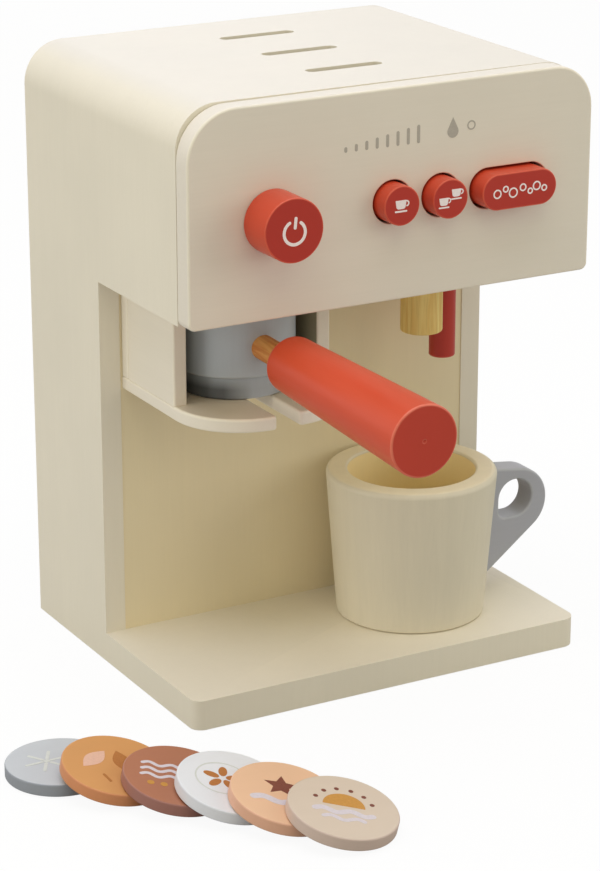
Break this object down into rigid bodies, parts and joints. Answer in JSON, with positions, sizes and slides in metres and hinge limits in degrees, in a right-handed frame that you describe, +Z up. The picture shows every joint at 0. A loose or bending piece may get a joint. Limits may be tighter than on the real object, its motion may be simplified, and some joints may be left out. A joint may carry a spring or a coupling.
{
  "type": "toy coffee maker",
  "caption": "Wooden toy coffee maker: C-shaped cabinet with coin slots, push buttons and a turning knob, a filter with a turned handle, a mug and a fan of play coins.",
  "frame": {"origin": "centre of the machine's footprint, on the surface it stands on", "axes": "+Z up, the front faces -Y, +X to the right seen from the front"},
  "size_m": [0.2717, 0.269, 0.248],
  "materials": {
    "cream_paint": "satin paint",
    "red_paint": "satin paint",
    "filter_grey_paint": "satin paint",
    "handle_grey_paint": "satin paint",
    "plain_wood": "bare sanded wood",
    "steel": "bright zinc",
    "coin_grey_paint": "satin paint",
    "coin_orange_paint": "satin paint",
    "coin_brown_paint": "satin paint",
    "coin_white_paint": "satin paint",
    "coin_peach_paint": "satin paint",
    "coin_beige_paint": "satin paint"
  },
  "bodies": {
    "cabinet": {"base_board": "cream_paint", "left_side": "cream_paint", "right_side": "cream_paint", "top_board": "cream_paint", "back_board": "cream_paint", "recess_board": "cream_paint", "head_floor": "cream_paint", "front_panel": "cream_paint", "button_guide": "plain_wood", "back_battens": "plain_wood", "panel_dowels": "plain_wood", "top_dowels": "plain_wood", "base_screws": "steel", "back_screws": "steel", "holder_back": "cream_paint", "holder_left_wall": "cream_paint", "holder_right_wall": "cream_paint", "holder_shelf": "cream_paint", "holder_screws": "steel", "coffee_spout": "plain_wood", "steam_wand": "red_paint", "one_cup_spring": "steel", "two_cup_spring": "steel", "foam_springs": "steel"},
    "knob": {"power_knob": "red_paint", "knob_shaft": "plain_wood", "knob_collar": "plain_wood"},
    "one_cup": {"one_cup_button": "red_paint", "one_cup_stem": "plain_wood"},
    "two_cup": {"two_cup_button": "red_paint", "two_cup_stem": "plain_wood"},
    "foam": {"foam_button": "red_paint", "foam_stems": "plain_wood"},
    "filter": {"filter_cup": "filter_grey_paint", "filter_dowel": "plain_wood", "filter_handle": "red_paint"},
    "mug": {"mug_body": "cream_paint", "mug_handle": "handle_grey_paint"},
    "coin_grey_piece": {"coin_grey": "coin_grey_paint"},
    "coin_orange_piece": {"coin_orange": "coin_orange_paint"},
    "coin_brown_piece": {"coin_brown": "coin_brown_paint"},
    "coin_white_piece": {"coin_white": "coin_white_paint"},
    "coin_peach_piece": {"coin_peach": "coin_peach_paint"},
    "coin_beige_piece": {"coin_beige": "coin_beige_paint"}
  },
  "joints": [
    {"name": "knob_turn", "type": "hinge", "parent": "cabinet", "child": "knob", "pos_m": [-0.0542, -0.0725, 0.2024], "axis": [0, -1, 0], "continuous": true},
    {"name": "one_cup_push", "type": "slide", "parent": "cabinet", "child": "one_cup", "axis": [0, 1, 0], "range_m": [0, 0.005], "stiffness_N_per_m": 400, "deforming": ["one_cup_spring"]},
    {"name": "two_cup_push", "type": "slide", "parent": "cabinet", "child": "two_cup", "axis": [0, 1, 0], "range_m": [0, 0.005], "stiffness_N_per_m": 400, "deforming": ["two_cup_spring"]},
    {"name": "foam_push", "type": "slide", "parent": "cabinet", "child": "foam", "axis": [0, 1, 0], "range_m": [0, 0.005], "stiffness_N_per_m": 400, "deforming": ["foam_springs"]},
    {"name": "filter_pull", "type": "slide", "parent": "cabinet", "child": "filter", "axis": [0, -1, 0], "range_m": [0, 0.15]},
    {"name": "mug_pull", "type": "slide", "parent": "cabinet", "child": "mug", "axis": [0, -1, 0], "range_m": [0, 0.11]},
    {"name": "coin_grey_slide", "type": "slide", "parent": "cabinet", "child": "coin_grey_piece", "axis": [-0.8221, -0.5693, 0], "range_m": [0, 0.06]},
    {"name": "coin_orange_slide", "type": "slide", "parent": "cabinet", "child": "coin_orange_piece", "axis": [-0.8221, -0.5693, 0], "range_m": [0, 0.06]},
    {"name": "coin_brown_slide", "type": "slide", "parent": "cabinet", "child": "coin_brown_piece", "axis": [-0.8221, -0.5693, 0], "range_m": [0, 0.06]},
    {"name": "coin_white_slide", "type": "slide", "parent": "cabinet", "child": "coin_white_piece", "axis": [-0.8221, -0.5693, 0], "range_m": [0, 0.06]},
    {"name": "coin_peach_slide", "type": "slide", "parent": "cabinet", "child": "coin_peach_piece", "axis": [-0.8221, -0.5693, 0], "range_m": [0, 0.06]},
    {"name": "coin_beige_slide", "type": "slide", "parent": "cabinet", "child": "coin_beige_piece", "axis": [-0.8221, -0.5693, 0], "range_m": [0, 0.06]}
  ]
}
